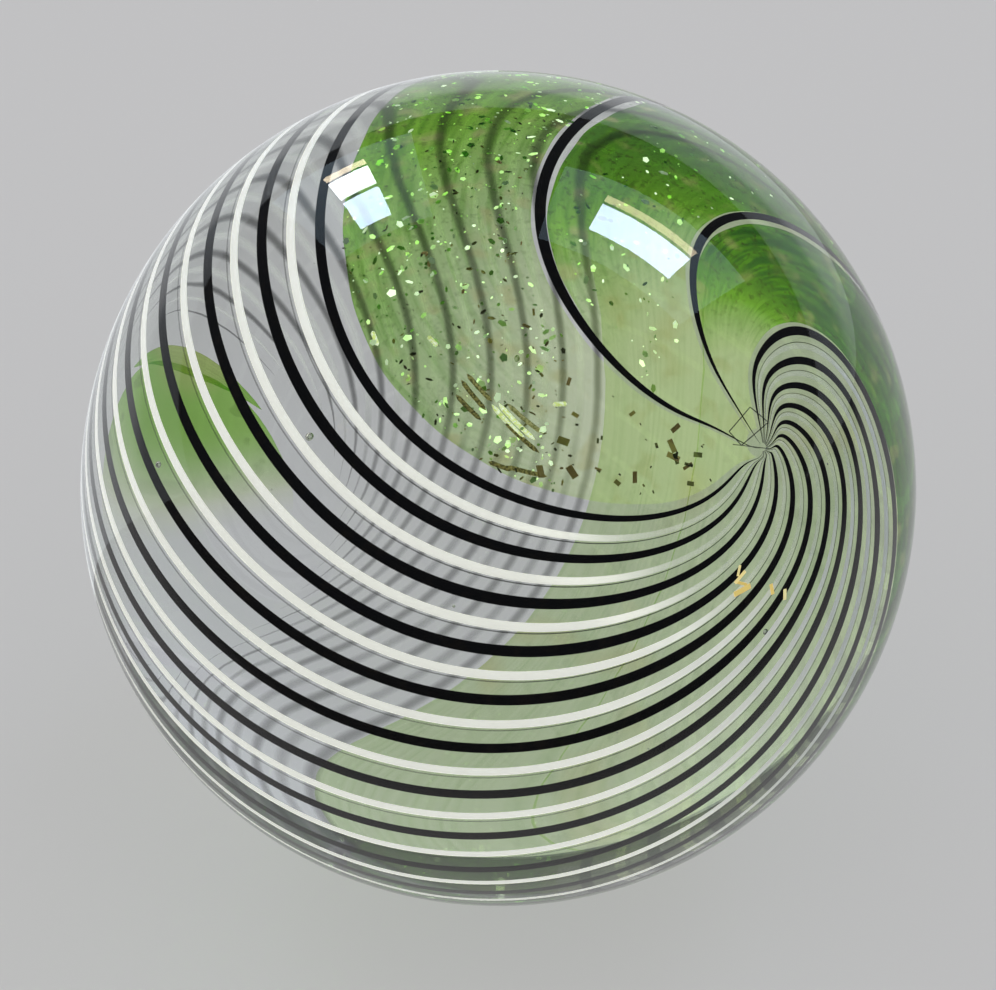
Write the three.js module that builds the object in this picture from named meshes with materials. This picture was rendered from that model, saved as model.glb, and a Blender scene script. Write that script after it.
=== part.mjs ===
// A handmade glass marble: one solid ball of clear glass, with twisted canes and a green panel
// sealed inside it. The ball is the only separate piece, because everything within it is fused
// into the glass, so it has no joint and nothing to take off.
//
// Millimetres, +Z up. The origin is the middle of the small flat spot that the ball rests on.

import * as THREE from "three";

// Driving dimensions.
const BALL_DIAMETER = 42;
const REST_FLAT_DIAMETER = 5;

// How finely the round surface is divided.
const SIDES_AROUND = 84;
const RINGS_UP = 42;

// What follows from them.
const BALL_RADIUS = BALL_DIAMETER / 2;
const REST_FLAT_RADIUS = REST_FLAT_DIAMETER / 2;

// The flat cuts off a shallow cap, so the ball's centre is a little lower than its radius.
const CENTRE_HEIGHT = Math.sqrt(BALL_RADIUS ** 2 - REST_FLAT_RADIUS ** 2);

// Half of the outline, from the middle of the flat spot, out to its rim and up the ball's side to
// the top. Angles are measured at the ball's centre, from straight down.
function ballProfile() {
  const rimAngle = Math.asin(REST_FLAT_RADIUS / BALL_RADIUS);
  const points = [new THREE.Vector2(0, 0), new THREE.Vector2(REST_FLAT_RADIUS, 0)];
  for (let ring = 1; ring < RINGS_UP; ring += 1) {
    const angle = rimAngle + ((Math.PI - rimAngle) * ring) / RINGS_UP;
    const outward = BALL_RADIUS * Math.sin(angle);
    const height = CENTRE_HEIGHT - BALL_RADIUS * Math.cos(angle);
    points.push(new THREE.Vector2(outward, height));
  }
  points.push(new THREE.Vector2(0, CENTRE_HEIGHT + BALL_RADIUS));
  return points;
}

// Clear glass with the faint green that thick glass has.
function clearGlass() {
  return new THREE.MeshStandardMaterial({
    color: 0xdce8dc,
    roughness: 0.03,
    metalness: 0,
    transparent: true,
    opacity: 0.35,
  });
}

// A lathe turns its profile about Y, so the ball is stood up along Z.
function glassBall() {
  const ball = new THREE.Mesh(new THREE.LatheGeometry(ballProfile(), SIDES_AROUND), clearGlass());
  ball.name = "glass_ball";
  ball.rotation.x = Math.PI / 2;
  return ball;
}

const marble = new THREE.Group();
marble.add(glassBall());

export default marble;
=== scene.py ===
# %% [markdown]
# # A handmade glass marble
#
# This lesson dresses a plain solid ball as a marble of clear glass. Black and white canes run under
# its surface from pole to pole in a twist, and strips of green glass with bright flecks lie between
# three of the black ones. The real one is fused solid: here each piece is modelled where it lies, and
# the clear ball is drawn round them all.

import math

import bpy
import numpy as np
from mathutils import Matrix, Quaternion, Vector


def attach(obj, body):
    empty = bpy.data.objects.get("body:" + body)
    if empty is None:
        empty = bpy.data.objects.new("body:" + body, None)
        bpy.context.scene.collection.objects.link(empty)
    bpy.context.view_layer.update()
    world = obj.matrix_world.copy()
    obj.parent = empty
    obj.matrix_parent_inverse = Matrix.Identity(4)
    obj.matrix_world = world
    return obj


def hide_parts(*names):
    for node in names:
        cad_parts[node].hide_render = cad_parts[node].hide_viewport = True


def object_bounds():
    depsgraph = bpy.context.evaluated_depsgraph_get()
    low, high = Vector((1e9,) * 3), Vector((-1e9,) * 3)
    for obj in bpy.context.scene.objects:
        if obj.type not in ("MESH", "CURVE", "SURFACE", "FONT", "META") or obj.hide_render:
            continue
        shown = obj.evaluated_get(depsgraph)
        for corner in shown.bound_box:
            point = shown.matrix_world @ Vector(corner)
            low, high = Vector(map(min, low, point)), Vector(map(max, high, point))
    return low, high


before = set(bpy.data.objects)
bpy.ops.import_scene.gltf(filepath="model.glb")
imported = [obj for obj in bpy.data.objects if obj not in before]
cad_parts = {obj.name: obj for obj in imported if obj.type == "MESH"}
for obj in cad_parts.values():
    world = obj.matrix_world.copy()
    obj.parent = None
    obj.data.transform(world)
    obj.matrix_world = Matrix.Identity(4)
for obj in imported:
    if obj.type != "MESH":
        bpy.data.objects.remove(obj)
cad_low, cad_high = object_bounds()
print("CAD box in mm:", [round(1000 * v, 2) for v in (*cad_low, *cad_high)])

# %% [markdown]
# The ball's size comes from the CAD solid's box. The solid stands on a small flat, so its centre is
# one radius below its top. Everything inside is placed by its direction from that centre and its depth.

# %% The ball's own sizes
BALL_RADIUS = (cad_high.x - cad_low.x) / 2
CENTRE = np.array([0.0, 0.0, cad_high.z - BALL_RADIUS])
REST_FLAT_RADIUS = math.sqrt(BALL_RADIUS**2 - (CENTRE[2] - cad_low.z) ** 2)
MM = 0.001
print("radius", round(BALL_RADIUS / MM, 2), "mm, rest flat radius", round(REST_FLAT_RADIUS / MM, 2), "mm")

# %% [markdown]
# Shader sums are easier to read as formulas than as a web of boxes. A Wire holds one socket of a
# node, and adding, multiplying or comparing wires adds the Math nodes. A Recipe is one material:
# it makes any other node and sets the sockets of its Principled shader.


# %% Shader helpers
def feed(tree, socket, value):
    """Gives a socket a number or a colour, or else a link from another socket."""
    value = getattr(value, "socket", value)
    if isinstance(value, bpy.types.NodeSocket):
        tree.links.new(value, socket)
    else:
        socket.default_value = value


def add_node(tree, kind, settings=None, values=None, output=0):
    """Adds a node, sets its settings, feeds its sockets and hands back one of its outputs."""
    made = tree.nodes.new(kind)
    for name, value in (settings or {}).items():
        setattr(made, name, value)
    for name, value in (values or {}).items():
        feed(tree, made.inputs[name], value)
    return made.outputs[output]


class Wire:
    """One output socket, which can be used in sums."""

    def __init__(self, recipe, socket):
        self.recipe = recipe
        self.socket = socket

    def _math(self, operation, *values):
        return self.recipe.node("ShaderNodeMath", {"operation": operation}, dict(enumerate(values)))

    def __add__(self, other):
        return self._math("ADD", self, other)

    __radd__ = __add__

    def __mul__(self, other):
        return self._math("MULTIPLY", self, other)

    __rmul__ = __mul__

    def __sub__(self, other):
        return self._math("SUBTRACT", self, other)

    def __rsub__(self, other):
        return self._math("SUBTRACT", other, self)

    def above(self, low, high, kind="SMOOTHSTEP"):
        """0 below low, 1 above high and smooth, or else straight, between them."""
        values = {"Value": self, "From Min": low, "From Max": high}
        return self.recipe.node("ShaderNodeMapRange", {"interpolation_type": kind}, values)


class Recipe:
    """One material, mixed on the Principled shader."""

    def __init__(self, name):
        self.material = bpy.data.materials.new(name)
        self.material.use_nodes = True
        self.tree = self.material.node_tree
        self.shader = self.tree.nodes["Principled BSDF"]

    def node(self, kind, settings=None, values=None, output=0):
        """Any node, as a wire from one of its outputs."""
        return Wire(self, add_node(self.tree, kind, settings, values, output))

    def place(self):
        """The place on the piece, in metres."""
        return self.node("ShaderNodeTexCoord", output="Object")

    def height(self):
        """The height of the place above the floor."""
        return self.node("ShaderNodeSeparateXYZ", None, {0: self.place()}, output="Z")

    def attribute(self, name):
        """A number that the mesh carries at each of its points."""
        return self.node("ShaderNodeAttribute", {"attribute_name": name}, output="Fac")

    def noise(self, size, detail):
        """Cloudy noise from 0 to 1 whose clouds are about size metres across."""
        values = {"Vector": self.place(), "Scale": 1 / size, "Detail": detail}
        return self.node("ShaderNodeTexNoise", None, values)

    def blend(self, share, first, second):
        """The first colour where share is 0, the second where it is 1."""
        values = {"Factor": share, 6: first, 7: second}
        return self.node("ShaderNodeMix", {"data_type": "RGBA"}, values, output=2)

    def soft_edge(self, firm, gone):
        """1 where a cane's surface is seen square on, falling to 0 where it is seen on edge."""
        facing = self.node("ShaderNodeLayerWeight", None, {"Blend": 0.5}, output="Facing")
        return 1 - facing.above(firm, gone)

    def feathered_edge(self):
        """Solid along the cane's middle, and ever thinner from there to both sides."""
        return 1 - self.attribute("side").above(0.1, 1.0)

    def bump(self, height, distance):
        values = {"Height": height, "Distance": distance}
        return self.node("ShaderNodeBump", None, values, output="Normal")

    def finish(self, **sockets):
        """Sets the Principled shader's sockets, named with _ for a space."""
        for name, value in sockets.items():
            feed(self.tree, self.shader.inputs[name.replace("_", " ")], value)
        # A piece's own faint glow is only to be seen. It isn't worth aiming light rays at.
        self.material.cycles.emission_sampling = "NONE"
        return self.material


def colour(red, green, blue):
    """A linear colour with full opacity."""
    return (red, green, blue, 1.0)


# %% [markdown]
# The marble was gathered on a rod and twisted while it was soft, so its canes run from one pole to
# the other. Then the front end was pulled a little to one side and snipped off, and the far end was
# turned several times as it came off the rod, which winds the canes there into a tight curl. These
# directions are named as a turn about the upright, from the side that faces the camera, and a height
# above the level.


# %% Where the poles are
def direction(turn, height):
    """Unit vector for a turn from -Y towards +X and a height above the level, in degrees."""
    turn, height = math.radians(turn), math.radians(height)
    return np.array(
        [math.sin(turn) * math.cos(height), -math.cos(turn) * math.cos(height), math.sin(height)]
    )


TWIST_POLE = direction(46.5, 51.9)
PULLED_POLE = direction(59.8, 46.0)
SNIPPED_TIP = direction(58.4, 41.5)
FAR_POLE = direction(-156.2, -49.8)

PULL_REACH = math.radians(32.4)
SNIP_REACH = math.radians(4.6)
FAR_PULL_REACH = math.radians(64)

# The twist is least round the waist and grows towards both poles, where the glass was thinner.
WAIST_TWIST = 1.409
END_TWIST = 0.324
END_EASING = -0.049
FAR_WINDING = 7.1
FAR_WINDING_REACH = 0.748
FAR_WINDING_EASE = 2.07
FAR_TIP_TURN = 2.7
FAR_TIP_REACH = math.radians(6)

PLACES_ROUND = 20
PLACE_STEP = 2 * math.pi / PLACES_ROUND
FIRST_CANE_TURN = math.radians(-26.9)

# %% [markdown]
# One function holds the whole swirl. It takes how far a point is from the front pole, along the
# twist, and which place round the marble its cane has, and gives the direction from the centre. The
# twist comes first, and each pull is a turn that fades with the distance from its pole.


# %% The swirl
def turned(points, axis, angle):
    """Points turned about an axis through the centre, each by its own angle."""
    axis = axis / np.linalg.norm(axis)
    cos, sin = np.cos(angle)[..., None], np.sin(angle)[..., None]
    along = (points @ axis)[..., None]
    return points * cos + np.cross(axis, points) * sin + axis * along * (1 - cos)


def pulled(points, start, end, reach, power, away):
    """Points dragged as start is pulled to end, less and less as away grows past reach."""
    full = math.acos(np.clip(start @ end, -1, 1))
    return turned(points, np.cross(start, end), full * np.exp(-((away / reach) ** power)))


def swirl(from_pole, place):
    """Directions from the centre, for angles from the front pole and places round the marble."""
    from_pole, place = np.broadcast_arrays(np.asarray(from_pole, float), np.asarray(place, float))
    uphill = np.array([0, 0, 1.0]) - TWIST_POLE * TWIST_POLE[2]
    uphill = uphill / np.linalg.norm(uphill)
    across = np.cross(TWIST_POLE, uphill)
    waist = from_pole - math.pi / 2
    twist = WAIST_TWIST * waist + END_TWIST * waist**3 + END_EASING * waist**5
    to_far_pole = (math.pi - from_pole) / FAR_WINDING_REACH
    winding = FAR_WINDING * np.exp(-(to_far_pole**FAR_WINDING_EASE))
    winding = winding + FAR_TIP_TURN * np.exp(-(((math.pi - from_pole) / FAR_TIP_REACH) ** 2))
    turn = FIRST_CANE_TURN + PLACE_STEP * place - twist - winding
    ring = np.cos(turn)[..., None] * uphill + np.sin(turn)[..., None] * across
    points = np.cos(from_pole)[..., None] * TWIST_POLE + np.sin(from_pole)[..., None] * ring
    points = pulled(points, -TWIST_POLE, FAR_POLE, FAR_PULL_REACH, 3, math.pi - from_pole)
    points = pulled(points, TWIST_POLE, PULLED_POLE, PULL_REACH, 3, from_pole)
    return pulled(points, PULLED_POLE, SNIPPED_TIP, SNIP_REACH, 2, from_pole)


def smooth_step(value, low, high):
    share = np.clip((value - low) / (high - low), 0, 1)
    return share * share * (3 - 2 * share)


def room_between(from_pole, place):
    """Distance from one cane to the next, square to their run, in metres on the ball's surface."""
    here = swirl(from_pole, place)
    along = swirl(np.asarray(from_pole) + 0.002, place) - here
    beside = (swirl(from_pole, place + 0.05) - here) / 0.05
    along = along / np.linalg.norm(along, axis=-1)[..., None]
    square = beside - along * (beside * along).sum(-1)[..., None]
    return np.linalg.norm(square, axis=-1) * BALL_RADIUS


waist_room = float(room_between(math.radians(60), 4.0))
print("from one black cane to the next, 60 degrees out:", round(waist_room / MM, 2), "mm")

# %% [markdown]
# Every piece in the glass starts as points worked out in numpy. The first helper turns points and
# faces into a mesh with its place in its vertices, and can hang numbers on the points for the
# material to read. The last one is for what every finished piece needs: it rides on the one body,
# because all of it is fused together.


# %% Mesh helper
def make_mesh(name, points, edges=(), faces=(), smooth=True, numbers=None):
    mesh = bpy.data.meshes.new(name)
    mesh.from_pydata([tuple(p) for p in points], list(edges), [tuple(f) for f in faces])
    if smooth and faces:
        mesh.polygons.foreach_set("use_smooth", [True] * len(mesh.polygons))
    for label, values in (numbers or {}).items():
        values = np.asarray(values, float)
        kind = "FLOAT_VECTOR" if values.ndim == 2 else "FLOAT"
        layer = mesh.attributes.new(label, kind, "POINT")
        layer.data.foreach_set("vector" if values.ndim == 2 else "value", values.ravel())
    mesh.update()
    piece = bpy.data.objects.new(name, mesh)
    bpy.context.scene.collection.objects.link(piece)
    return piece


def fused_in(piece):
    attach(piece, "root")
    triangles = sum(len(face.vertices) - 2 for face in piece.data.polygons)
    print(f"{piece.name}: {triangles} triangles")


# %% [markdown]
# The clear ball is a sphere with the small flat ground on its underside. A lathe of its profile would
# do, so its rings are written out here: many more than in the CAD solid, because light bends at this
# surface and a facet would show in everything behind it.

# %% Clear ball
SIDES_ROUND_BALL = 256
RINGS_UP_BALL = 128


def faces_round(rings, sides):
    """Faces over rings of points, with one point before the first ring and one after the last."""
    faces = []
    last = 1 + rings * sides
    for side in range(sides):
        after = (side + 1) % sides
        faces.append((0, 1 + after, 1 + side))
        for low in range(1, last - sides, sides):
            high = low + sides
            faces.append((low + side, low + after, high + after, high + side))
        faces.append((last - sides + side, last - sides + after, last))
    return faces


def ball_surface():
    rim = math.asin(REST_FLAT_RADIUS / BALL_RADIUS)
    angles = np.linspace(rim, math.pi, RINGS_UP_BALL + 1)[:-1]
    turns = np.arange(SIDES_ROUND_BALL) * 2 * math.pi / SIDES_ROUND_BALL
    points = [CENTRE - [0, 0, BALL_RADIUS * math.cos(rim)]]
    for angle in angles:
        out, up = BALL_RADIUS * math.sin(angle), -BALL_RADIUS * math.cos(angle)
        points.extend(CENTRE + np.array([out * math.cos(t), out * math.sin(t), up]) for t in turns)
    points.append(CENTRE + [0, 0, BALL_RADIUS])
    return points, faces_round(RINGS_UP_BALL, SIDES_ROUND_BALL)


def clear_glass():
    """Fire-polished glass, with a waviness too faint to see but in the edge of a reflection."""
    mix = Recipe("clear_glass")
    wave = mix.noise(2.5 * MM, 1.0)
    return mix.finish(
        Base_Color=colour(0.85, 0.87, 0.87),
        Roughness=0.0,
        IOR=1.5,
        Transmission_Weight=1.0,
        Normal=mix.bump(wave, 0.0015 * MM),
    )


points, faces = ball_surface()
clear_ball = make_mesh("clear_ball", points, faces=faces)
for edge in clear_ball.data.edges:
    low_end = all(clear_ball.data.vertices[v].co.z < cad_low.z + 1e-6 for v in edge.vertices)
    if low_end and 0 not in edge.vertices:
        edge.use_edge_sharp = True
clear_ball.data.materials.append(clear_glass())
fused_in(clear_ball)
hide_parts("glass_ball")

# %% [markdown]
# A cane is a thread of glass that was laid on the hot ball and pressed in, so its section is a
# flattened circle. Geometry Nodes sweep that section along a centre line: the line brings its own
# half-width and outward direction at every point, so that a cane can taper towards the poles and
# keeps its flat side to the surface.


# %% Node tree that sweeps a cane
def node_group(name, sockets):
    tree = bpy.data.node_groups.new(name, "GeometryNodeTree")
    tree.is_modifier = True
    tree.interface.new_socket("Geometry", in_out="INPUT", socket_type="NodeSocketGeometry")
    for label, kind in sockets.items():
        tree.interface.new_socket(label, in_out="INPUT", socket_type=kind)
    tree.interface.new_socket("Geometry", in_out="OUTPUT", socket_type="NodeSocketGeometry")
    return tree, tree.nodes.new("NodeGroupInput"), tree.nodes.new("NodeGroupOutput")


def number_on_points(tree, name, kind="FLOAT"):
    settings = {"data_type": kind}
    return add_node(tree, "GeometryNodeInputNamedAttribute", settings, {"Name": name}, "Attribute")


def store_number(tree, domain, shape, name, value):
    settings = {"data_type": "FLOAT", "domain": domain}
    values = {"Geometry": shape, "Name": name, "Value": value}
    return add_node(tree, "GeometryNodeStoreNamedAttribute", settings, values)


def close_tree(tree, given, end, shape):
    """Every tree here ends in Realize Instances and Set Material."""
    real = add_node(tree, "GeometryNodeRealizeInstances", None, {"Geometry": shape})
    values = {"Geometry": real, "Material": given.outputs["Material"]}
    coated = add_node(tree, "GeometryNodeSetMaterial", None, values)
    tree.links.new(coated, end.inputs[0])
    return tree


def sweep_tree():
    tree, given, end = node_group(
        "sweep_canes",
        {"Sides": "NodeSocketInt", "Flatness": "NodeSocketFloat", "Material": "NodeSocketMaterial"},
    )
    line = add_node(tree, "GeometryNodeMeshToCurve", None, {"Mesh": given.outputs["Geometry"]})
    outward = number_on_points(tree, "outward", "FLOAT_VECTOR")
    values = {"Curve": line, "Normal": outward}
    facing = add_node(tree, "GeometryNodeSetCurveNormal", {"mode": "FREE"}, values)
    values = {"Resolution": given.outputs["Sides"], "Radius": 1.0}
    circle = add_node(tree, "GeometryNodeCurvePrimitiveCircle", None, values)
    spot = add_node(tree, "GeometryNodeInputPosition")
    across = add_node(tree, "ShaderNodeSeparateXYZ", None, {0: spot}, "Y")
    side = add_node(tree, "ShaderNodeMath", {"operation": "ABSOLUTE"}, {0: across})
    sided = store_number(tree, "POINT", circle, "side", side)
    values = {"X": given.outputs["Flatness"], "Y": 1.0, "Z": 1.0}
    squash = add_node(tree, "ShaderNodeCombineXYZ", None, values)
    values = {"Geometry": sided, "Scale": squash}
    section = add_node(tree, "GeometryNodeTransform", None, values)
    width = number_on_points(tree, "half_width")
    values = {"Curve": facing, "Profile Curve": section, "Scale": width, "Fill Caps": True}
    tube = add_node(tree, "GeometryNodeCurveToMesh", None, values)
    smooth = add_node(tree, "GeometryNodeSetShadeSmooth", None, {0: tube})
    return close_tree(tree, given, end, smooth)


SWEEP = sweep_tree()

# %% [markdown]
# The modifier's inputs are set by each socket's identifier before anything is evaluated.


# %% Freezing a modifier
def grown(name, source, tree, inputs):
    """The plain mesh that a node tree makes from the source object, which is then removed."""
    modifier = source.modifiers.new(name, "NODES")
    modifier.node_group = tree
    for item in tree.interface.items_tree:
        if item.in_out == "INPUT" and item.name in inputs:
            modifier[item.identifier] = inputs[item.name]
    graph = bpy.context.evaluated_depsgraph_get()
    mesh = bpy.data.meshes.new_from_object(source.evaluated_get(graph))
    mesh.name = name
    bpy.data.objects.remove(source)
    piece = bpy.data.objects.new(name, mesh)
    bpy.context.scene.collection.objects.link(piece)
    return piece


# %% [markdown]
# Centre lines for a set of canes go into one mesh of loose edges. Each cane takes a share of the room
# between two places, so it narrows to a hair where the swirl crowds together at the poles.

# %% Centre lines of canes
CANE_STEPS = 420
FIRST_STEP = math.radians(0.6)
TAIL_LENGTH = math.radians(2)
FAR_SHARE = 0.30
FAR_SHARE_FROM = math.radians(122)
FAR_SHARE_FULL = math.radians(150)
LAST_STEP = math.pi - math.radians(7.2)
CANE_DEPTH = 0.035 * BALL_RADIUS


def line_mesh(name, runs, label, depth):
    """Loose lines. Each run has directions, widths and a number to carry, for all its points."""
    out, width, number = (np.concatenate(part) for part in zip(*runs))
    edges, first = [], 0
    for run in runs:
        last = first + len(run[0]) - 1
        edges.extend((i, i + 1) for i in range(first, last))
        first = last + 1
    numbers = {"outward": out, "half_width": width / 2, label: number}
    return make_mesh(name, CENTRE + out * (BALL_RADIUS - depth), edges, numbers=numbers)


def straight(place, from_pole):
    return np.full(len(from_pole), float(place))


def cane_lines(name, places, share, widest, end=LAST_STEP, thinnest=0.02 * MM, lean=straight):
    """Lines under the surface at the given places, each a share of the free room wide."""
    from_pole = np.linspace(FIRST_STEP, end, CANE_STEPS)
    far = smooth_step(from_pole, FAR_SHARE_FROM, FAR_SHARE_FULL)
    runs = []
    for place in places:
        leaning = lean(place, from_pole)
        filling = min(max(place, 0) / 4, 1)
        room = room_between(from_pole, leaning)
        width = np.clip((share[0] + (share[1] - share[0]) * filling) * room, thinnest, widest)
        width = width * (1 - far) + np.clip(FAR_SHARE * room, thinnest, 2 * widest) * far
        width = width * np.clip((end - from_pole) / TAIL_LENGTH, 0.05, 1)
        runs.append((swirl(from_pole, leaning), width, from_pole / math.pi))
    return line_mesh(name, runs, "along", CANE_DEPTH)


# %% [markdown]
# Black glass this dark drinks all light, and where it touches clear glass there is no shine between
# the two, so the specular level is nought. The faint brown streaks are where the cane was drawn thin.


# %% Black canes
HIGH_FROM = 0.24 * BALL_RADIUS
HIGH_FULL = 0.31 * BALL_RADIUS


def drawn_out(mix, low_alpha, high_alpha):
    """How solid a cane is: full on the front, thinned and soft-edged where it winds to the far pole."""
    far = mix.attribute("along").above(0.70, 0.82)
    edge = mix.soft_edge(0.45, 0.9) * (1 - far) + mix.feathered_edge() * far
    high = mix.height().above(HIGH_FROM, HIGH_FULL)
    thinned = low_alpha + (high_alpha - low_alpha) * high
    return edge * (1 - far * (1 - thinned))


def black_glass():
    mix = Recipe("black_cane")
    streak = mix.noise(0.6 * MM, 3.0).above(0.45, 0.75)
    return mix.finish(
        Base_Color=mix.blend(streak, colour(0.002, 0.002, 0.003), colour(0.010, 0.007, 0.005)),
        Roughness=0.5,
        Specular_IOR_Level=0.0,
        Alpha=drawn_out(mix, 0.27, 0.42),
    )


STRIPED_PLACES = list(range(11))
LONE_PLACES = [-3.88, -7.45]
LONE_END = math.radians(125)
LONE_SHARE = (0.2, 0.2)
BLACK_SHARE = (0.17, 0.29)
BLACK_WIDEST = 0.62 * MM


def lone_lean(place, from_pole):
    """The two lone canes lean across the swirl: the first late, the second at once."""
    if place == LONE_PLACES[0]:
        return place + 0.5 * np.clip(from_pole / math.radians(60), 0, 1.1) ** 3
    return place + 0.8 * (1 - np.exp(-from_pole / math.radians(20)))


BLACK_SECTION = {"Sides": 10, "Flatness": 0.45, "Material": black_glass()}
lines = cane_lines("black_lines", STRIPED_PLACES, BLACK_SHARE, BLACK_WIDEST)
fused_in(grown("black_canes", lines, SWEEP, BLACK_SECTION))
lines = cane_lines("lone_lines", LONE_PLACES, LONE_SHARE, BLACK_WIDEST, LONE_END, lean=lone_lean)
fused_in(grown("lone_canes", lines, SWEEP, BLACK_SECTION))

# %% [markdown]
# White glass is opaque where the cane is full and turns to a thin veil where it was drawn out towards
# the front pole. The alpha follows the distance along the cane, which each point carries. The canes
# also have a painted glow of their own and painted shade: darker towards the marble's right side, and
# on the far side grey low down and paler higher up.


# %% White canes
def white_glass():
    mix = Recipe("white_cane")
    along = mix.attribute("along")
    body = along.above(0.11, 0.19)
    cloud = mix.noise(0.5 * MM, 3.0)
    milk = mix.blend(cloud, colour(0.72, 0.72, 0.66), colour(0.80, 0.80, 0.74))
    far = along.above(0.68, 0.80)
    high = mix.height().above(HIGH_FROM, HIGH_FULL)
    # Painted shade: on the far side the canes are grey low down and paler higher up, for how they are
    # lit.
    far_painted_shade = mix.blend(high, colour(0.17, 0.17, 0.18), colour(0.50, 0.51, 0.50))
    # Painted shade: the canes darken towards +X, on the marble's right side, in colour and glow alike.
    across = mix.node("ShaderNodeSeparateXYZ", None, {0: mix.place()}, output="X")
    shade = across.above(0.25 * BALL_RADIUS, 0.95 * BALL_RADIUS)
    lit = mix.blend(shade, milk, colour(0.22, 0.25, 0.24))
    return mix.finish(
        Base_Color=mix.blend(far, mix.blend(shade, milk, colour(0.50, 0.52, 0.50)), far_painted_shade),
        Roughness=0.6,
        Specular_IOR_Level=0.0,
        # Painted light: a glow of their own stands for the light that reaches them through the clear
        # glass.
        Emission_Color=mix.blend(far, lit, far_painted_shade),
        Emission_Strength=WHITE_GLOW,
        Alpha=(0.16 + 0.84 * body) * drawn_out(mix, 0.28, 0.4),
    )


# How strongly the white canes' painted glow shines; they are no lamp.
WHITE_GLOW = 0.9
WHITE_PLACES = [place + 0.5 for place in range(10)]
WHITE_SHARE = (0.16, 0.2)
WHITE_WIDEST = 0.5 * MM

WHITE_SECTION = {"Sides": 10, "Flatness": 0.4, "Material": white_glass()}
lines = cane_lines("white_lines", WHITE_PLACES, WHITE_SHARE, WHITE_WIDEST)
fused_in(grown("white_canes", lines, SWEEP, WHITE_SECTION))

# %% [markdown]
# Beside each white cane, to one side of it, runs a dark hair. It is made the same way, far thinner,
# and half clear.


# %% Dark hairs beside the white canes
def dark_hair_glass():
    mix = Recipe("dark_thread")
    cloud = mix.noise(0.8 * MM, 2.0)
    return mix.finish(
        Base_Color=mix.blend(cloud, colour(0.05, 0.06, 0.05), colour(0.09, 0.10, 0.085)),
        Roughness=0.6,
        Specular_IOR_Level=0.0,
        Alpha=(0.6 - 0.35 * mix.attribute("along").above(0.15, 0.32)) * drawn_out(mix, 0.15, 0.15),
    )


HAIR_OFFSET = 0.13
HAIR_SHARE = (0.03, 0.03)
HAIR_END = math.radians(125)
HAIR_WIDEST = 0.1 * MM
HAIR_THINNEST = 0.03 * MM

hair_places = [place + HAIR_OFFSET for place in WHITE_PLACES]
lines = cane_lines("hair_lines", hair_places, HAIR_SHARE, HAIR_WIDEST, HAIR_END, HAIR_THINNEST)
HAIR_SECTION = {"Sides": 6, "Flatness": 1.0, "Material": dark_hair_glass()}
fused_in(grown("thin_dark_hairs", lines, SWEEP, HAIR_SECTION))

# %% [markdown]
# The green strips are sheets of transparent glass, thick in the middle and thin at the edges, that
# fill the room beside the lone black canes. Their edges are a little ragged, as the glass was laid on
# by hand. Each strip is a closed shell on the swirl, between two edges that are functions of the
# distance from the front pole, and it carries how deep its green is at every point.

# %% Edges of the green strips
GAP_BESIDE_LONE_CANE = 0.15
GAP_CLOSES_FROM = math.radians(105)
GAP_CLOSES_OVER = math.radians(20)
STRIP_DEPTH = 0.052 * BALL_RADIUS
STRIP_THICKEST = 0.35 * MM
STRIP_ROWS = np.radians(np.concatenate([np.linspace(2, 158, 190), np.linspace(158.4, 174.6, 80)]))
STRIP_COLUMNS = 24


def beside_lone(number, side):
    """An edge that keeps its distance from a lone cane, until the gap closes on the far side."""

    def edge(from_pole):
        closed = smooth_step(from_pole, GAP_CLOSES_FROM, GAP_CLOSES_FROM + GAP_CLOSES_OVER)
        return lone_lean(LONE_PLACES[number], from_pole) + side * GAP_BESIDE_LONE_CANE * (1 - closed)

    return edge


def fixed(place):
    return lambda from_pole: np.full(len(from_pole), place)


def spread(place, turned_by, start, full):
    """An edge at one place that moves on by some places between two angles from the pole."""
    return lambda from_pole: place + turned_by * smooth_step(from_pole, start, full)


# Each strip's two edges, the angles from the pole where its green starts to deepen and is deepest,
# and how deep that is.
STRIPS = (
    (beside_lone(0, 1), fixed(-0.36), 14, 72, 1.1),
    (beside_lone(1, 1), beside_lone(0, -1), 16, 50, 1.75),
    (spread(-9.7, 1.9, math.radians(170), math.radians(174.6)), beside_lone(1, -1), 8, 31, 2.2),
)


# %% Shells of the green strips
def ragged(from_pole, phase, amount):
    """How far a strip's edge wanders, in places."""
    slow = np.sin(9 * from_pole + phase)
    quick = 0.6 * np.sin(23 * from_pole + 2 * phase) + 0.4 * np.sin(51 * from_pole)
    return amount * (slow + quick)


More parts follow.
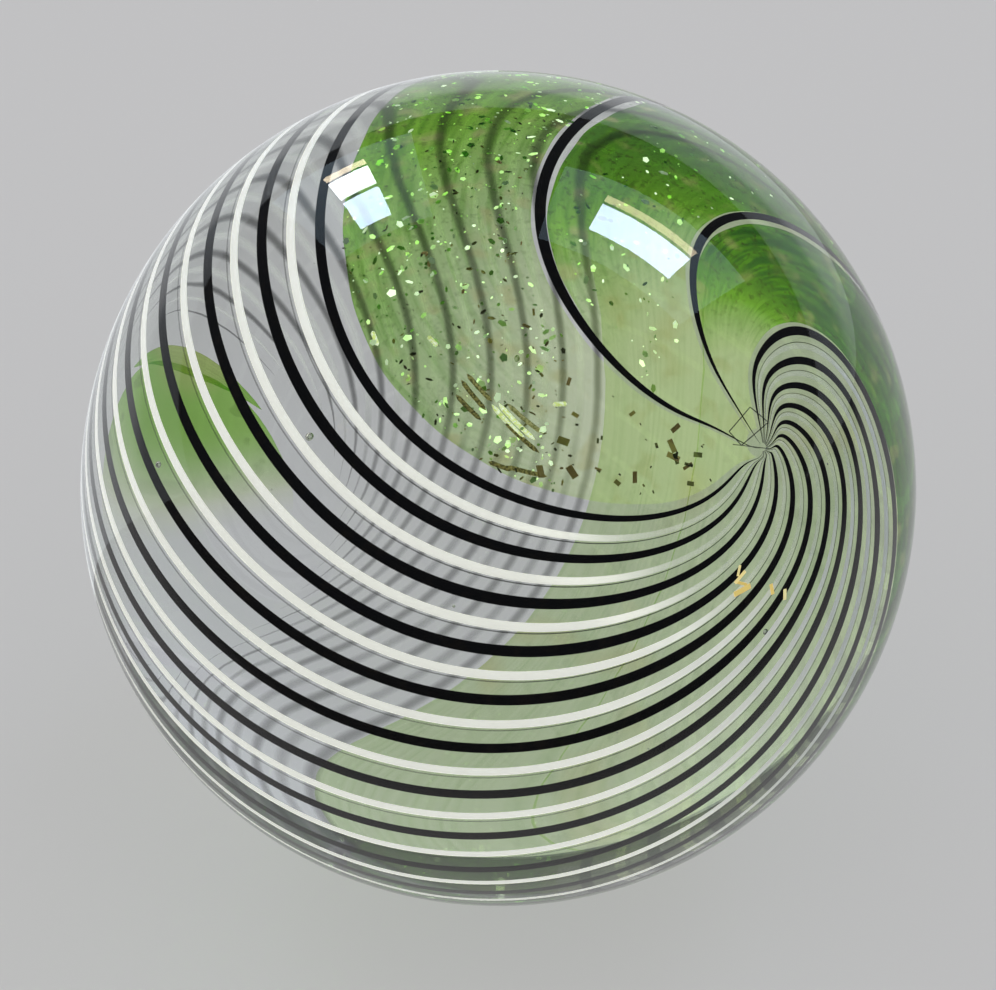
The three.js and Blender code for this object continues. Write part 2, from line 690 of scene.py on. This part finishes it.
def strip_shell(strip, phase):
    """Points, faces and numbers of one closed shell between two edges."""
    from_pole = STRIP_ROWS
    across = np.linspace(0, 1, STRIP_COLUMNS)
    low = strip[0](from_pole) + ragged(from_pole, phase, 0.012)
    high = strip[1](from_pole) + ragged(from_pole, phase + 1, 0.02)
    place = low[:, None] + (high - low)[:, None] * across[None, :]
    out = swirl(np.repeat(from_pole[:, None], STRIP_COLUMNS, 1), place)
    swell = np.sqrt(np.clip(1 - (2 * across - 1) ** 4, 0, 1))[None, :, None]
    taper = np.sin(from_pole)[:, None, None] ** 0.5
    half = STRIP_THICKEST / 2 * (0.08 + 0.92 * swell * taper)
    middle = BALL_RADIUS - STRIP_DEPTH
    outer = CENTRE + out * (middle + half)
    inner = CENTRE + out * (middle - half)
    rows, columns = len(from_pole), STRIP_COLUMNS
    points = np.concatenate([outer.reshape(-1, 3), inner.reshape(-1, 3)])
    under = rows * columns

    def at(row, column):
        return row * columns + column

    def wall(first, second):
        return (first, second, under + second, under + first)

    faces = []
    for row in range(rows - 1):
        for column in range(columns - 1):
            quad = (at(row, column), at(row + 1, column), at(row + 1, column + 1), at(row, column + 1))
            faces.append(quad)
            faces.append(tuple(under + corner for corner in reversed(quad)))
        for column, turn in ((0, 1), (columns - 1, -1)):
            faces.append(wall(at(row, column), at(row + 1, column))[::-turn])
    for column in range(columns - 1):
        for row, turn in ((0, -1), (rows - 1, 1)):
            faces.append(wall(at(row, column), at(row, column + 1))[::-turn])
    along = np.tile(np.repeat(from_pole / math.pi, columns), 2)
    share = np.tile(np.tile(across, rows), 2)
    degrees = np.degrees(from_pole)
    deep = strip[4] * smooth_step(degrees, strip[2], strip[3])
    deep = deep + (0.22 - deep) * smooth_step(degrees, 112, 150)
    deep = np.repeat(deep, columns) + fading_down(out[..., 2].ravel(), degrees.repeat(columns))
    return points, faces, along, share, np.tile(deep, 2)


# %% [markdown]
# At the far pole the strips wind up so tightly that their edges would show as rings. They stop short
# of it, and a thin round lens of the same glass closes the end. Its green fades away downward.


# %% The green cap at the far pole
def fading_down(height, degrees):
    """Added depth of colour near the far pole: deeper above and none at all below."""
    return smooth_step(degrees, 169, 173) * (1.1 * smooth_step(height, CAP_CLEAR, CAP_GREEN) - 0.5)


# Heights over the ball's centre, in radii, between which the far end's green sets in.
CAP_CLEAR = -0.795
CAP_GREEN = -0.735
CAP_RADIUS = math.radians(5.8)
CAP_RINGS = 12
CAP_SIDES = 60


def cap_shell():
    """A thin round lens of green glass over the far pole, where the strips end."""
    pole = swirl(math.pi, 0.0)
    upward = np.array([0, 0, 1.0]) - pole * pole[2]
    upward = upward / np.linalg.norm(upward)
    left = np.cross(upward, pole)
    middle = pole + math.radians(0.8) * (upward + left)
    rings = np.concatenate([np.linspace(0, 1, CAP_RINGS)[1:], np.linspace(1, 0, CAP_RINGS)[1:-1]])
    sinks = np.concatenate([np.ones(CAP_RINGS - 1), -np.ones(CAP_RINGS - 2)])
    turns = np.arange(CAP_SIDES) * 2 * math.pi / CAP_SIDES
    half = STRIP_THICKEST / 2
    spots = [middle]
    depths = [half]
    for ring, sink in zip(rings, sinks):
        for turn in turns:
            reach = CAP_RADIUS * ring * (1 + 0.05 * math.sin(2 * turn + 1) + 0.02 * math.sin(5 * turn))
            spots.append(middle + reach * (math.cos(turn) * upward + math.sin(turn) * left))
            depths.append(sink * half * math.sqrt(1 - 0.97 * ring**4))
    spots.append(middle)
    depths.append(-half)
    out = np.array([spot / np.linalg.norm(spot) for spot in spots])
    points = CENTRE + out * (BALL_RADIUS - STRIP_DEPTH + np.array(depths))[:, None]
    # Its outer side comes first, so the faces are turned over.
    faces = [(face[0], *face[:0:-1]) for face in faces_round(len(rings), CAP_SIDES)]
    count = len(points)
    deep = 0.22 + fading_down(out[:, 2], np.full(count, 180.0))
    return points, faces, np.ones(count), 0.5 + 0.5 * out[:, 0], deep


# %% [markdown]
# Green glass tints what is behind it. An index of 1 leaves the light straight, because the clear
# glass round it bends it just as much. The colour goes from pale at the poles, where the glass was
# drawn out, to deep green round the waist, with clouds, dark specks and faint brown stains. Near the
# front pole it also has a faint painted glow.


# %% Green glass
def green_glass():
    mix = Recipe("green_glass")
    along = mix.attribute("along")
    across = mix.attribute("across")
    run = mix.node("ShaderNodeCombineXYZ", None, {"X": across * 26, "Y": along * 22})
    cloud = mix.node("ShaderNodeTexNoise", None, {"Vector": run, "Scale": 1.0, "Detail": 3.0})
    grain = mix.noise(0.35 * MM, 1.0)
    depth = mix.attribute("deep")
    tint = mix.blend(depth, colour(0.95, 1.0, 0.78), colour(0.34, 0.72, 0.07))
    tint = mix.blend(depth.above(1.0, 2.0, "LINEAR"), tint, colour(0.06, 0.24, 0.04))
    mottled = mix.blend(cloud.above(0.42, 0.68) * depth * 0.75, tint, colour(0.17, 0.46, 0.03))
    specked = mix.blend(grain.above(0.6, 0.7) * 0.6 * depth, mottled, colour(0.10, 0.20, 0.03))
    patch = mix.noise(1.3 * MM, 1.0)
    stained = mix.blend(patch.above(0.56, 0.72) * 0.5, specked, colour(0.74, 0.70, 0.34))
    stained = mix.blend(depth.above(-0.25, 0.1, "LINEAR"), colour(1, 1, 1), stained)
    near_tip = 1 - along.above(0.05, 0.24)
    return mix.finish(
        Base_Color=stained,
        Roughness=0.0,
        IOR=1.0,
        Transmission_Weight=1.0,
        # Painted light: near the front pole the green glows faintly, to brighten the palest part.
        Emission_Color=mix.blend(near_tip, colour(0, 0, 0), colour(0.038, 0.052, 0.014)),
        Emission_Strength=1.0,
    )


shells = [strip_shell(strip, 2.0 * number) for number, strip in enumerate(STRIPS)]
points, shell_faces, along, share, deep = zip(*shells, cap_shell())
faces = []
base = 0
for shell, corners in zip(points, shell_faces):
    faces.extend(tuple(base + corner for corner in face) for face in corners)
    base += len(shell)
numbers = {"along": along, "across": share, "deep": deep}
numbers = {label: np.concatenate(values) for label, values in numbers.items()}
green_strips = make_mesh("green_strips", np.concatenate(points), faces=faces, numbers=numbers)
green_strips.data.materials.append(green_glass())
fused_in(green_strips)

# %% [markdown]
# Flakes of bright foil were rolled into the green glass before it was laid on. They lie nearly flat
# under the surface, each tipped a little its own way, so that some mirror the lamps and others stay
# dark. The tree sets one small plate on every point, turns it and scales it, and writes a number on
# each plate that the material reads for its colour and for how bright a painted glint, a glow of
# its own, it is given.


# %% Node tree that scatters small things in the glass
def scatter_tree(name, shape):
    """One copy of a shape on every point, squarely outward but for a random tip and spin."""
    labels = ("Smallest", "Largest", "Breadth", "Thinness", "Tip")
    sockets = {label: "NodeSocketFloat" for label in labels}
    sockets.update({"Seed": "NodeSocketInt", "Material": "NodeSocketMaterial"})
    tree, given, end = node_group(name, sockets)
    asked = given.outputs

    def sum_of(operation, first, second):
        values = {0: first, 1: second}
        return add_node(tree, "ShaderNodeMath", {"operation": operation}, values)

    def chance(low, high, extra):
        values = {2: low, 3: high, "Seed": sum_of("ADD", asked["Seed"], extra)}
        return add_node(tree, "FunctionNodeRandomValue", {"data_type": "FLOAT"}, values, 1)

    back = sum_of("MULTIPLY", asked["Tip"], -1.0)
    tip_x, tip_y = (chance(back, asked["Tip"], extra) for extra in (1, 2))
    spin = chance(0.0, 2 * math.pi, 3)
    turn = add_node(tree, "ShaderNodeCombineXYZ", None, {"X": tip_x, "Y": tip_y, "Z": spin})
    tipping = add_node(tree, "FunctionNodeEulerToRotation", None, {0: turn})
    outward = number_on_points(tree, "outward", "FLOAT_VECTOR")
    square = add_node(tree, "FunctionNodeAlignRotationToVector", {"axis": "Z"}, {"Vector": outward})
    values = {"Rotation": square, "Rotate By": tipping}
    tipped = add_node(tree, "FunctionNodeRotateRotation", {"rotation_space": "LOCAL"}, values)
    growth = sum_of("SUBTRACT", asked["Largest"], asked["Smallest"])
    size = sum_of("POWER", chance(0.0, 1.0, 4), 2.5)
    size = sum_of("ADD", asked["Smallest"], sum_of("MULTIPLY", size, growth))
    broadest = sum_of("MULTIPLY", asked["Breadth"], 2.5)
    breadth = sum_of("MULTIPLY", size, chance(asked["Breadth"], broadest, 5))
    thickness = sum_of("MULTIPLY", size, asked["Thinness"])
    scale = add_node(tree, "ShaderNodeCombineXYZ", None, {"X": size, "Y": breadth, "Z": thickness})
    values = {"Points": asked["Geometry"], "Instance": shape(tree), "Rotation": tipped, "Scale": scale}
    copies = add_node(tree, "GeometryNodeInstanceOnPoints", None, values)
    marked = store_number(tree, "INSTANCE", copies, "flash", chance(0.0, 1.0, 6))
    return close_tree(tree, given, end, marked)


# %% [markdown]
# Each shape is repeated up to a thousand times, so it is simple: a five-sided plate, a box, and for
# the few bubbles a round ball. Places on the swirl and a depth below the surface say where they lie.


# %% Shapes to scatter
def plate(tree):
    values = {"Vertices": 5, "Radius": 1.0, "Depth": 2.0}
    return add_node(tree, "GeometryNodeMeshCylinder", None, values, "Mesh")


def shard(tree):
    return add_node(tree, "GeometryNodeMeshCube", None, {"Size": (2.0, 2.0, 2.0)}, "Mesh")


def blob(tree):
    ball = add_node(tree, "GeometryNodeMeshIcoSphere", None, {"Radius": 1.0, "Subdivisions": 3})
    return add_node(tree, "GeometryNodeSetShadeSmooth", None, {0: ball})


PLATES = scatter_tree("scatter_plates", plate)
SHARDS = scatter_tree("scatter_shards", shard)
BLOBS = scatter_tree("scatter_bubbles", blob)


def sown(name, tree, spots, depth, sizes, breadth, thinness, tip, seed, material):
    """Copies of the tree's shape at spots of the swirl, each of a size between two, in mm."""
    out = swirl(*spots)
    points = CENTRE + out * (BALL_RADIUS - np.broadcast_to(depth, len(out)))[:, None]
    given = {
        "Smallest": sizes[0] * MM,
        "Largest": sizes[1] * MM,
        "Breadth": breadth,
        "Thinness": thinness,
        "Tip": tip,
        "Seed": seed,
        "Material": material,
    }
    return grown(name, make_mesh(name + "_points", points, numbers={"outward": out}), tree, given)


# %% [markdown]
# Most flakes lie in the widest strip and fewer in the second one. Random numbers with a fixed seed
# give each its place on the swirl, so that they keep to the strips. None lies near the front pole.


# %% Bright flakes
def bright_foil():
    mix = Recipe("bright_foil")
    flash = mix.attribute("flash")
    sheen = mix.blend(flash.above(0.1, 0.7), colour(0.30, 0.55, 0.16), colour(0.80, 1.0, 0.62))
    # Painted glint: flakes with the larger numbers get a glow of their own, on top of what they mirror.
    glow = mix.blend(flash.above(0.35, 0.9), colour(0.0, 0.0, 0.0), colour(0.75, 0.97, 0.60))
    return mix.finish(
        Base_Color=sheen,
        Metallic=0.7,
        Roughness=0.3,
        Emission_Color=glow,
        Emission_Strength=1.2,
    )


rng = np.random.default_rng(21)
BRIGHT_IN_WIDE_STRIP = 1100
BRIGHT_IN_SECOND_STRIP = 320
FLECK_DEPTH = 0.045 * BALL_RADIUS
# The places between which the flakes lie.
WIDE_STRIP = (-3.4, -0.36)
SECOND_STRIP = (-6.5, -4.15)


def sown_in_strip(count, edges, near, far):
    from_pole = np.radians(rng.uniform(near, far, count))
    place = rng.uniform(edges[0], edges[1], count)
    return from_pole, place


wide = sown_in_strip(BRIGHT_IN_WIDE_STRIP, WIDE_STRIP, 26, 105)
second = sown_in_strip(BRIGHT_IN_SECOND_STRIP, SECOND_STRIP, 14, 105)
from_pole = np.concatenate([wide[0], second[0]])
place = np.concatenate([wide[1], second[1]])
depth = FLECK_DEPTH + rng.uniform(-0.2, 0.6, len(place)) * MM
spots = (from_pole, place)
foil = bright_foil()
bright_flakes = sown("bright_flakes", PLATES, spots, depth, (0.05, 0.27), 0.35, 0.08, 0.5, 4, foil)
fused_in(bright_flakes)

# %% [markdown]
# Where the foil tore, long slivers of it lie side by side. Each is a flat ribbon, swept like a cane
# from where it starts to where it ends, and brighter or browner by a number of its own, which also
# sets a painted glow on the bright ones.

# %% Long slivers
# From where each starts to where it ends, as degrees from the pole and a place, and how it shines.
SLIVER_ENDS = (
    (31.6, -1.35, 28.3, -1.15, 0.9),
    (30.9, -1.45, 27.4, -1.25, 1.0),
    (30.0, -1.55, 26.5, -1.45, 0.4),
    (30.4, -1.25, 27.2, -1.05, 0.2),
    (35.0, -1.30, 32.2, -1.20, 0.15),
    (34.5, -1.45, 31.6, -1.40, 0.3),
    (35.4, -1.05, 32.7, -1.00, 0.1),
    (30.8, -0.50, 27.0, -0.65, 0.25),
    (32.4, -0.42, 30.3, -0.48, 0.1),
    (46.9, -0.50, 45.6, -0.48, 1.0),
    (39.8, -1.30, 38.4, -1.35, 0.8),
    (25.4, -2.10, 23.9, -2.30, 0.9),
)
SLIVER_STEPS = 9
SLIVER_WIDTH = 0.26 * MM


def torn_foil():
    mix = Recipe("torn_foil")
    shine = mix.attribute("flash")
    vein = mix.noise(0.12 * MM, 2.0).above(0.4, 0.6)
    bright = mix.blend(vein, colour(0.62, 0.74, 0.22), colour(0.88, 1.0, 0.66))
    dull = mix.blend(vein, colour(0.10, 0.10, 0.02), colour(0.42, 0.38, 0.10))
    foil = mix.blend(shine.above(0.2, 0.9), dull, bright)
    return mix.finish(
        Base_Color=foil,
        Metallic=0.4,
        Roughness=0.35,
        # Painted glint: the brighter slivers glow in their own colour.
        Emission_Color=mix.blend(shine, colour(0.02, 0.02, 0.005), foil),
        Emission_Strength=0.7,
    )


def sliver_runs():
    steps = np.linspace(0, 1, SLIVER_STEPS)
    width = SLIVER_WIDTH * np.clip(4 * np.sin(math.pi * steps), 0.15, 1)
    for start, start_place, end, end_place, shine in SLIVER_ENDS:
        place = start_place + (end_place - start_place) * steps
        out = swirl(np.radians(start + (end - start) * steps), place)
        yield out, width, np.full(SLIVER_STEPS, shine)


lines = line_mesh("sliver_lines", list(sliver_runs()), "flash", FLECK_DEPTH)
SLIVER_SECTION = {"Sides": 6, "Flatness": 0.2, "Material": torn_foil()}
fused_in(grown("foil_slivers", lines, SWEEP, SLIVER_SECTION))

# %% [markdown]
# Round the front pole the foil burnt in the flame to brown and olive crumbs. They are scattered by
# the same trees: blocks near the tip, where they show largest, and thin plates further down the strip.


# %% Brown and olive crumbs
def burnt_foil():
    mix = Recipe("burnt_foil")
    flash = mix.attribute("flash")
    crumb = mix.blend(flash.above(0.2, 0.9), colour(0.05, 0.055, 0.015), colour(0.42, 0.32, 0.10))
    return mix.finish(Base_Color=crumb, Metallic=0.3, Roughness=0.5, Specular_IOR_Level=0.1)


CRUMBS_NEAR_TIP = 46
CRUMBS_IN_STRIP = 170
BURNT_FOIL = burnt_foil()
near_tip = sown_in_strip(CRUMBS_NEAR_TIP, (-3.2, -0.5), 8, 30)
in_strip = sown_in_strip(CRUMBS_IN_STRIP, WIDE_STRIP, 24, 58)
for name, spots, tree, sizes, seed in (
    ("tip_crumbs", near_tip, SHARDS, (0.06, 0.36), 11),
    ("strip_crumbs", in_strip, PLATES, (0.06, 0.22), 12),
):
    depth = FLECK_DEPTH + rng.uniform(-0.1, 0.3, len(spots[0])) * MM
    crumbs = sown(name, tree, spots, depth, sizes, 0.25, 0.1, 0.4, seed, BURNT_FOIL)
    fused_in(crumbs)


# %% [markdown]
# A few slivers of foil strayed over the first canes, where they lie on the black and shine like gold,
# partly by what they mirror and partly by a painted glow in their own tone.


# %% Gold slivers
def gold_foil():
    mix = Recipe("gold_foil")
    flash = mix.attribute("flash")
    tone = mix.blend(flash, colour(0.85, 0.62, 0.18), colour(1.0, 0.88, 0.45))
    # Painted highlight: the gold glows in its own tone, though it is no lamp.
    return mix.finish(
        Base_Color=tone, Metallic=1.0, Roughness=0.35, Emission_Color=tone, Emission_Strength=0.7
    )


GOLD_SPOTS = ((21.7, 3.1), (22.6, 3.3), (26.8, 5.0), (20.8, 2.9), (23.6, 3.5), (24.8, 4.4))
GOLD_DEPTH = 0.02 * BALL_RADIUS


def at_spots(pairs):
    """Angles and places of the pairs, as sown takes them."""
    degrees, place = np.array(pairs).T
    return np.radians(degrees), place


spots = at_spots(GOLD_SPOTS)
foil = gold_foil()
gold_slivers = sown("gold_slivers", SHARDS, spots, GOLD_DEPTH, (0.28, 0.55), 0.15, 0.05, 0.25, 3, foil)
fused_in(gold_slivers)

# %% [markdown]
# A few seeds of air are left in any handmade glass. Light crosses from dense glass to air at their
# walls, so the index is that of air over that of glass, and each shows a dark rim.


# %% Bubbles
def trapped_air():
    mix = Recipe("trapped_air")
    mist = mix.noise(0.1 * MM, 1.0)
    return mix.finish(Roughness=mist * 0.02, IOR=1 / 1.5, Transmission_Weight=1.0)


SEEDS = 34
BUBBLE_DEPTH = 0.06 * BALL_RADIUS
# The few large ones, as degrees from the pole and a place.
LARGE_BUBBLES = ((29.7, -2.35), (32.4, 5.5), (54.3, 1.35), (82.4, 3.9))
TRAPPED_AIR = trapped_air()
seeds = np.radians(rng.uniform(15, 110, SEEDS)), rng.uniform(-9, 10, SEEDS)
for name, spots, sizes in (
    ("large_bubbles", at_spots(LARGE_BUBBLES), (0.17, 0.25)),
    ("air_seeds", seeds, (0.03, 0.09)),
):
    bubbles = sown(name, BLOBS, spots, BUBBLE_DEPTH, sizes, 0.4, 0.6, 0.3, 5, TRAPPED_AIR)
    fused_in(bubbles)

# %% [markdown]
# Where the marble was snipped off its front punty a hair-fine seam is left, folded into a small
# diamond just behind the tip that all the canes run to.

# %% Seam at the snipped tip
DIAMOND = [(54.5, 46.9), (62.2, 46.7), (63.0, 43.1), (54.8, 44.2), (54.5, 46.9)]
SEAM = [(53.4, 45.2), (59.2, 40.7)]


def seam_mesh(name, corners, width):
    """A fine line under the surface from corner to corner."""
    spots = [direction(*corner) for corner in corners]
    points = []
    for first, last in zip(spots, spots[1:]):
        for step in np.linspace(0, 1, 9)[:-1]:
            points.append(first * (1 - step) + last * step)
    points.append(spots[-1])
    out = np.array([point / np.linalg.norm(point) for point in points])
    return line_mesh(name, [(out, np.full(len(out), width), np.zeros(len(out)))], "along", CANE_DEPTH)


for name, line in (
    ("seam_diamond", seam_mesh("diamond_line", DIAMOND, 0.07 * MM)),
    ("seam_line", seam_mesh("tip_line", SEAM, 0.05 * MM)),
):
    fused_in(grown(name, line, SWEEP, HAIR_SECTION))

# %% [markdown]
# The floor is pale and plain. Through clear glass one mostly sees the floor, so it has a light of its
# own under and behind the marble, and the ball stays as bright inside as the ground round it.


# %% Floor
def floor_finish():
    """Pale and plain. It shines mostly by itself, like a light table, so the glass isn't dull."""
    mix = Recipe("floor_finish")
    cloud = mix.noise(20 * MM, 1.0)
    behind = mix.node("ShaderNodeVectorMath", {"operation": "SUBTRACT"}, {0: mix.place(), 1: LIT_MIDDLE})
    away = mix.node("ShaderNodeVectorMath", {"operation": "LENGTH"}, {0: behind}, output="Value")
    unlit = away.above(LIT_RADIUS, LIT_RADIUS * 1.5)
    return mix.finish(
        Base_Color=mix.blend(cloud, colour(0.255, 0.25, 0.247), colour(0.247, 0.243, 0.24)),
        Roughness=0.7,
        Emission_Color=mix.blend(unlit, FLOOR_GLOW, colour(0, 0, 0)),
        Emission_Strength=1.0,
    )


# The lit part of the floor lies under and behind the marble, where the ball looks through itself.
FLOOR_GLOW = colour(0.415, 0.412, 0.412)
LIT_MIDDLE = (0.0, 2.2 * BALL_RADIUS, 0.0)
LIT_RADIUS = 3.8 * BALL_RADIUS
FLOOR_HALF = 1.5
# A hair of room keeps the floor and the flat spot apart.
FLOOR_DROP = 0.02 * MM
corners = ((-1, -1), (1, -1), (1, 1), (-1, 1))
points = [(x * FLOOR_HALF, y * FLOOR_HALF, -FLOOR_DROP) for x, y in corners]
floor = make_mesh("floor", points, faces=[(0, 1, 2, 3)], smooth=False)
floor.data.materials.append(floor_finish())
print("floor:", 2 * FLOOR_HALF, "m wide")

# %% [markdown]
# A glossy ball is known by what it mirrors. Two windows stand behind it, each made of a few bright
# panes in their own tint, with a wider and weaker one round them for the haze. Each pane is an area
# light, because it stays sharp in the glass.


# %% Windows
def area_light(name, turn, height, distance, width, tall, power, tint, lean=0.0, beside=(0, 0)):
    light = bpy.data.lights.new(name, "AREA")
    light.shape = "RECTANGLE"
    light.size = width
    light.size_y = tall
    light.energy = power
    light.color = tint
    lamp = bpy.data.objects.new(name, light)
    bpy.context.scene.collection.objects.link(lamp)
    away = Vector(direction(turn, height))
    lamp.location = Vector(CENTRE) + away * distance
    lamp.rotation_mode = "QUATERNION"
    facing = away.to_track_quat("Z", "Y") @ Quaternion((0, 0, 1), math.radians(lean))
    lamp.rotation_quaternion = facing
    lamp.location += facing @ Vector((beside[0], beside[1], 0))
    lamp.visible_camera = False
    return lamp


WINDOW_DISTANCE = 1.0
SKY = (0.62, 0.82, 1.0)
WARM = (1.0, 0.86, 0.62)


# Each window's turn, height and lean.
LEFT_WINDOW = (-153, 23, -14)
RIGHT_WINDOW = (143, 34.5, 17)


def pane(name, window, width, tall, beside, radiance, tint):
    """One bright rectangle of a window, set beside the window's middle by (across, up)."""
    turn, height, lean = window
    power = radiance * math.pi * width * tall
    return area_light(name, turn, height, WINDOW_DISTANCE, width, tall, power, tint, lean, beside)


panes = (
    pane("left_low", LEFT_WINDOW, 0.12, 0.225, (0, 0.13), 21, (0.58, 0.70, 1.0)),
    pane("left_high", LEFT_WINDOW, 0.12, 0.165, (0, -0.09), 20, (0.88, 0.96, 1.0)),
    pane("left_edge", LEFT_WINDOW, 0.12, 0.05, (0, -0.215), 9, WARM),
    pane("left_haze", LEFT_WINDOW, 0.40, 0.70, (0, 0), 0.8, SKY),
    pane("right_main", RIGHT_WINDOW, 0.35, 0.19, (0, 0.045), 23, (0.58, 0.66, 1.0)),
    pane("right_edge", RIGHT_WINDOW, 0.35, 0.05, (0, -0.095), 8, WARM),
    pane("right_haze", RIGHT_WINDOW, 0.70, 0.55, (0, 0.03), 1.1, SKY),
)

print("window panes:", len(panes))

# %% [markdown]
# Towards its rim the ball mirrors the ground beside it, which veils what is inside. Two flat panes
# on the floor, to the left and behind, give that veil. Like the windows they are only there to be
# mirrored: they don't light the floor, nor are they seen through the ball.

# %% Sheen at the rim
SHEEN_SIZE = 0.9
SHEEN_RADIANCE = 0.4


def floor_sheen(name, from_x, from_y):
    """A pane laid flat, from its near left corner, facing up."""
    power = SHEEN_RADIANCE * math.pi * SHEEN_SIZE**2
    sheen = area_light(name, 0, 90, 0.0, SHEEN_SIZE, SHEEN_SIZE, power, (0.88, 0.95, 1.0))
    sheen.location = (from_x + SHEEN_SIZE / 2, from_y + SHEEN_SIZE / 2, 0.2 * MM)
    sheen.rotation_quaternion = Quaternion((1, 0, 0), math.pi)
    return sheen


sheens = (
    floor_sheen("left_sheen", -SHEEN_SIZE, 0.4 * BALL_RADIUS),
    floor_sheen("back_sheen", 0.0, 2.6 * BALL_RADIUS),
)
for mirrored in (*panes, *sheens):
    mirrored.visible_transmission = False
    mirrored.visible_diffuse = False

print("sheens:", len(sheens))

# %% [markdown]
# The rest of the room is soft light from above and from both sides, so that the clear glass casts
# next to no shadow. The ball doesn't mirror these lights, as their large squares would show.

# %% Soft light and the room
SOFT_RADIANCE = 0.30
SOFT_WIDTH = 2.4
for name, turn, height, share in (
    ("soft_above", 0, 88, 1.3),
    ("soft_left", -90, 35, 1.0),
    ("soft_right", 90, 35, 1.0),
):
    power = SOFT_RADIANCE * share * math.pi * SOFT_WIDTH**2
    soft = area_light(name, turn, height, 1.7, SOFT_WIDTH, SOFT_WIDTH, power, (1.0, 0.985, 0.975))
    soft.visible_glossy = False

print("soft lights:", SOFT_WIDTH, "m wide")

world = bpy.data.worlds.new("room")
bpy.context.scene.world = world
world.use_nodes = True
world.node_tree.nodes["Background"].inputs["Color"].default_value = (0.62, 0.66, 0.72, 1)
world.node_tree.nodes["Background"].inputs["Strength"].default_value = 0.15
bpy.context.scene.view_settings.view_transform = "Standard"

# %% [markdown]
# The camera looks down from far off with a long lens, so the ball's outline stays a circle. The lens
# follows from the ball's size and the share of the picture's width that it takes up, and the small
# shift from where its middle lies.

# %% Camera
VIEW_HEIGHT = 52
VIEW_DISTANCE = 60 * BALL_RADIUS
IMAGE_WIDTH = 996
IMAGE_HEIGHT = 990
OUTLINE_WIDTH = 836
OUTLINE_MIDDLE = (498.4, 488.3)
SENSOR = 36.0

camera_data = bpy.data.cameras.new("camera")
camera = bpy.data.objects.new("camera", camera_data)
bpy.context.scene.collection.objects.link(camera)
toward = Vector(direction(0, VIEW_HEIGHT))
camera.location = Vector(CENTRE) + toward * VIEW_DISTANCE
camera.rotation_mode = "QUATERNION"
camera.rotation_quaternion = toward.to_track_quat("Z", "Y")
half_angle = math.asin(BALL_RADIUS / VIEW_DISTANCE)
camera_data.sensor_width = SENSOR
camera_data.lens = SENSOR / 2 / (math.tan(half_angle) * IMAGE_WIDTH / OUTLINE_WIDTH)
camera_data.shift_x = (IMAGE_WIDTH / 2 - OUTLINE_MIDDLE[0]) / IMAGE_WIDTH
camera_data.shift_y = (OUTLINE_MIDDLE[1] - IMAGE_HEIGHT / 2) / IMAGE_WIDTH
camera_data.clip_start = 0.01
bpy.context.scene.camera = camera
print("camera lens:", round(camera_data.lens, 1), "mm")
